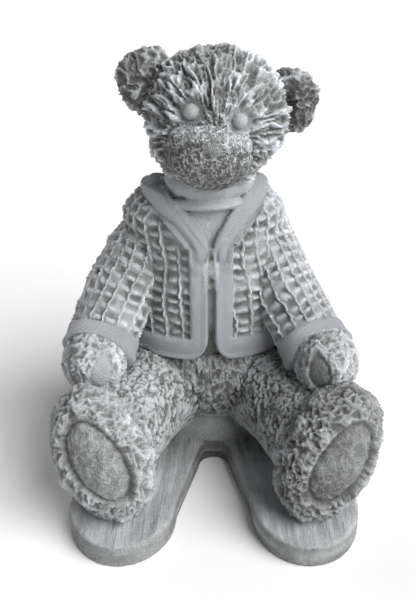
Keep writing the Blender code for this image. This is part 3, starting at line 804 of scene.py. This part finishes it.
def merged_mesh(name, shapes):
    """The shapes as one mesh. The shapes are used up."""
    whole = bmesh.new()
    for shape in shapes:
        piece = bpy.data.meshes.new("piece")
        shape.to_mesh(piece)
        shape.free()
        whole.from_mesh(piece)
        bpy.data.meshes.remove(piece)
    mesh = bpy.data.meshes.new(name)
    whole.to_mesh(mesh)
    whole.free()
    return mesh


def outer_skin(mesh):
    """Drops whatever isn't joined to the highest vertex: pockets closed off inside the forms."""
    shape = bmesh.new()
    shape.from_mesh(mesh)
    reached = {max(shape.verts, key=lambda v: v.co.z)}
    front = list(reached)
    while front:
        for edge in front.pop().link_edges:
            for vert in edge.verts:
                if vert not in reached:
                    reached.add(vert)
                    front.append(vert)
    bmesh.ops.delete(shape, geom=[v for v in shape.verts if v not in reached], context="VERTS")
    shape.to_mesh(mesh)
    shape.free()


def vertex_rows(mesh, name):
    """One row of three numbers for each vertex: its place, "co", or its normal."""
    values = np.empty(len(mesh.vertices) * 3)
    mesh.vertices.foreach_get(name, values)
    return values.reshape(-1, 3)


def frame_shift(node):
    """Where the figure's own origin lies in the frame, from the underside of the board."""
    points = vertex_rows(node.data, "co")
    under = points[points[:, 2] < 1e-4]
    return np.array((
        (under[:, 0].min() + under[:, 0].max()) / 2,
        under[:, 1].min() + LOBE_REACH * UNIT,
        BOARD_THICKNESS * UNIT,
    ))


def carved_piece(name, forms, shift, voxel, most_triangles, with_board=False):
    """Some forms as one carved skin, in the frame's metres."""
    shapes = [form_shape(form) for form in forms]
    if with_board:
        shapes.append(board_shape())
    rough = new_object("rough_" + name, merged_mesh("rough_shapes", shapes))
    remesh = rough.modifiers.new("join", "REMESH")
    remesh.mode = "VOXEL"
    remesh.voxel_size = voxel
    smooth = rough.modifiers.new("soften", "SMOOTH")
    smooth.iterations = SMOOTH_PASSES
    skin = evaluated_mesh(rough)
    bpy.data.objects.remove(rough)
    outer_skin(skin)
    points = vertex_rows(skin, "co")
    outs = vertex_rows(skin, "normal")
    carving = Carving(forms, points, outs)
    points = points + outs * carving.height[:, None]
    points[:, 2] = np.maximum(points[:, 2], -BOARD_THICKNESS)
    skin.vertices.foreach_set("co", (points * UNIT + shift).ravel())
    for mark, values in carving.marks.items():
        layer = skin.attributes.new(mark, "FLOAT", "POINT")
        layer.data.foreach_set("value", values.astype(np.float32))
    skin.update()
    dense = new_object("dense_" + name, skin)
    thin = dense.modifiers.new("thin", "DECIMATE")
    thin.use_collapse_triangulate = True
    thin.ratio = min(1, most_triangles / (2 * len(skin.polygons)))
    mesh = evaluated_mesh(dense)
    bpy.data.objects.remove(dense)
    mesh.shade_smooth()
    return new_object(name, mesh)


class Shader:
    """Short calls for building a node tree."""

    def __init__(self, name):
        self.material = bpy.data.materials.new(name)
        self.material.use_nodes = True
        self.tree = self.material.node_tree
        self.surface = self.tree.nodes["Principled BSDF"]

    def node(self, kind, inputs=None, **settings):
        made = self.tree.nodes.new(kind)
        for key, value in settings.items():
            setattr(made, key, value)
        for key, value in (inputs or {}).items():
            if isinstance(value, bpy.types.NodeSocket):
                self.tree.links.new(value, made.inputs[key])
            else:
                made.inputs[key].default_value = value
        return made

    def mark(self, name):
        return self.node("ShaderNodeAttribute", attribute_name=name).outputs["Fac"]

    def maths(self, operation, a, b):
        return self.node("ShaderNodeMath", {0: a, 1: b}, operation=operation).outputs[0]

    def noise(self, vector, scale, detail, roughness=0.55):
        inputs = {"Vector": vector, "Scale": scale, "Detail": detail, "Roughness": roughness}
        return self.node("ShaderNodeTexNoise", inputs).outputs["Fac"]

    def range(self, value, low, high, to_low, to_high):
        inputs = {0: value, 1: low, 2: high, 3: to_low, 4: to_high}
        return self.node("ShaderNodeMapRange", inputs).outputs[0]

    def stretched(self, vector, scale, turn=(0, 0, 0)):
        inputs = {"Vector": vector, "Scale": scale, "Rotation": turn}
        return self.node("ShaderNodeMapping", inputs).outputs[0]


def ramp_node(shader, value, stops):
    """Colours by value, from rows of (place, colour)."""
    made = shader.node("ShaderNodeValToRGB", {"Fac": value})
    elements = made.color_ramp.elements
    while len(elements) < len(stops):
        elements.new(0.5)
    for element, (place, colour) in zip(elements, stops):
        element.position = place
        element.color = (*colour, 1)
    return made.outputs["Color"]


def cast_stone():
    """Grey cast stone: dark and faintly green in the cuts, chalky on the crests, with a sandy skin.

    The crest mark sets the tone. Weave adds a fine hatch, stipple pits and grain the lines of a plank.
    """
    s = Shader("cast_stone")
    place = s.node("ShaderNodeTexCoord").outputs["Object"]
    crest, weave, stipple, grain = (s.mark(name) for name in MARKS)
    sand = s.noise(place, 900, 4, 0.6)
    blotch = s.noise(place, 28, 4, 0.6)
    worn = s.maths("ADD", crest, s.range(sand, 0.3, 0.7, -0.14, 0.14))
    worn = s.maths("ADD", worn, s.range(blotch, 0.3, 0.7, -0.12, 0.12))
    hatch = s.node("ShaderNodeTexWave", {
        "Vector": s.stretched(place, (1, 0.3, 1), (0, math.radians(35), 0)),
        "Scale": 150.0, "Distortion": 4.0, "Detail": 3.0, "Detail Scale": 90.0,
    }, wave_type="BANDS", bands_direction="Z").outputs["Fac"]
    worn = s.maths("ADD", worn, s.maths("MULTIPLY", weave, s.range(hatch, 0, 1, -0.1, 0.2)))
    tone = ramp_node(s, worn, [
        (0.0, (0.100, 0.104, 0.098)),
        (0.3, (0.250, 0.256, 0.256)),
        (0.6, (0.430, 0.442, 0.458)),
        (1.0, (0.760, 0.785, 0.820)),
    ])
    s.tree.links.new(tone, s.surface.inputs["Base Color"])
    s.surface.inputs["Specular IOR Level"].default_value = 0.25
    s.tree.links.new(s.range(sand, 0.3, 0.7, 0.82, 0.96), s.surface.inputs["Roughness"])

    pits = s.node("ShaderNodeTexVoronoi", {"Vector": place, "Scale": 620.0}, feature="F1")
    planks = s.noise(s.stretched(place, (1, 0.09, 1)), 420, 4, 0.6)
    height = s.maths("MULTIPLY", sand, 0.35)
    for texture, share in (
        (s.noise(place, 240, 3), 0.35),
        (s.maths("MULTIPLY", hatch, weave), 0.9),
        (s.maths("MULTIPLY", pits.outputs["Distance"], stipple), 1.1),
        (s.maths("MULTIPLY", planks, grain), 1.0),
    ):
        height = s.maths("ADD", height, s.maths("MULTIPLY", texture, share))
    bump = s.node("ShaderNodeBump", {"Height": height, "Strength": 1.0, "Distance": 0.0014})
    s.tree.links.new(bump.outputs["Normal"], s.surface.inputs["Normal"])
    return s.material


def studio(shift):
    """A pale floor, a soft key light, a weaker one from behind, and a camera where the photograph's was."""
    floor_mesh = bpy.data.meshes.new("floor")
    shape = bmesh.new()
    bmesh.ops.create_grid(shape, x_segments=1, y_segments=1, size=12)
    shape.to_mesh(floor_mesh)
    shape.free()
    floor = new_object("floor", floor_mesh)
    pale = Shader("pale_floor")
    pale.surface.inputs["Base Color"].default_value = (FLOOR_TONE, FLOOR_TONE, FLOOR_TONE, 1)
    pale.surface.inputs["Roughness"].default_value = 0.9
    floor_mesh.materials.append(pale.material)

    world = bpy.data.worlds.new("studio")
    bpy.context.scene.world = world
    world.use_nodes = True
    background = world.node_tree.nodes["Background"]
    background.inputs["Color"].default_value = (1.0, 1.0, 1.0, 1)
    background.inputs["Strength"].default_value = SKY_STRENGTH
    bpy.context.scene.view_settings.view_transform = "Standard"

    for name, (energy, angle, direction) in SUNS.items():
        sun = bpy.data.lights.new(name, "SUN")
        sun.energy = energy
        sun.angle = math.radians(angle)
        lamp = new_object(name, sun)
        lamp.rotation_euler = Vector(direction).to_track_quat("Z", "Y").to_euler()

    lens = bpy.data.cameras.new("camera")
    lens.sensor_fit = "VERTICAL"
    lens.angle = 2 * math.atan(PHOTO_HEIGHT / 2 / PHOTO_FOCAL_LENGTH)
    lens.shift_x = PHOTO_SHIFT / PHOTO_HEIGHT
    lens.clip_start = 0.01
    camera = new_object("camera", lens)
    camera.location = (shift[0], shift[1] - CAMERA_BACK, CAMERA_HEIGHT)
    camera.rotation_euler = (math.radians(90 - CAMERA_DOWN), 0, 0)
    bpy.context.scene.camera = camera


def main():
    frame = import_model()
    node = frame["nodes"][NODE]
    shift = frame_shift(node)
    stone = cast_stone()
    head = [form.moved(HEAD_TURN) for form in HEAD]
    pieces = [
        carved_piece("bear_head", head, shift, voxel=0.9, most_triangles=110_000),
        carved_piece("bear_and_board", torso_and_limbs(), shift, voxel=1.15, most_triangles=195_000,
                     with_board=True),
    ]
    for piece in pieces:
        piece.data.materials.clear()
        piece.data.materials.append(stone)
        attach(piece, "root")
        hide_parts(NODE)
    studio(shift)
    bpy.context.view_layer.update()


main()
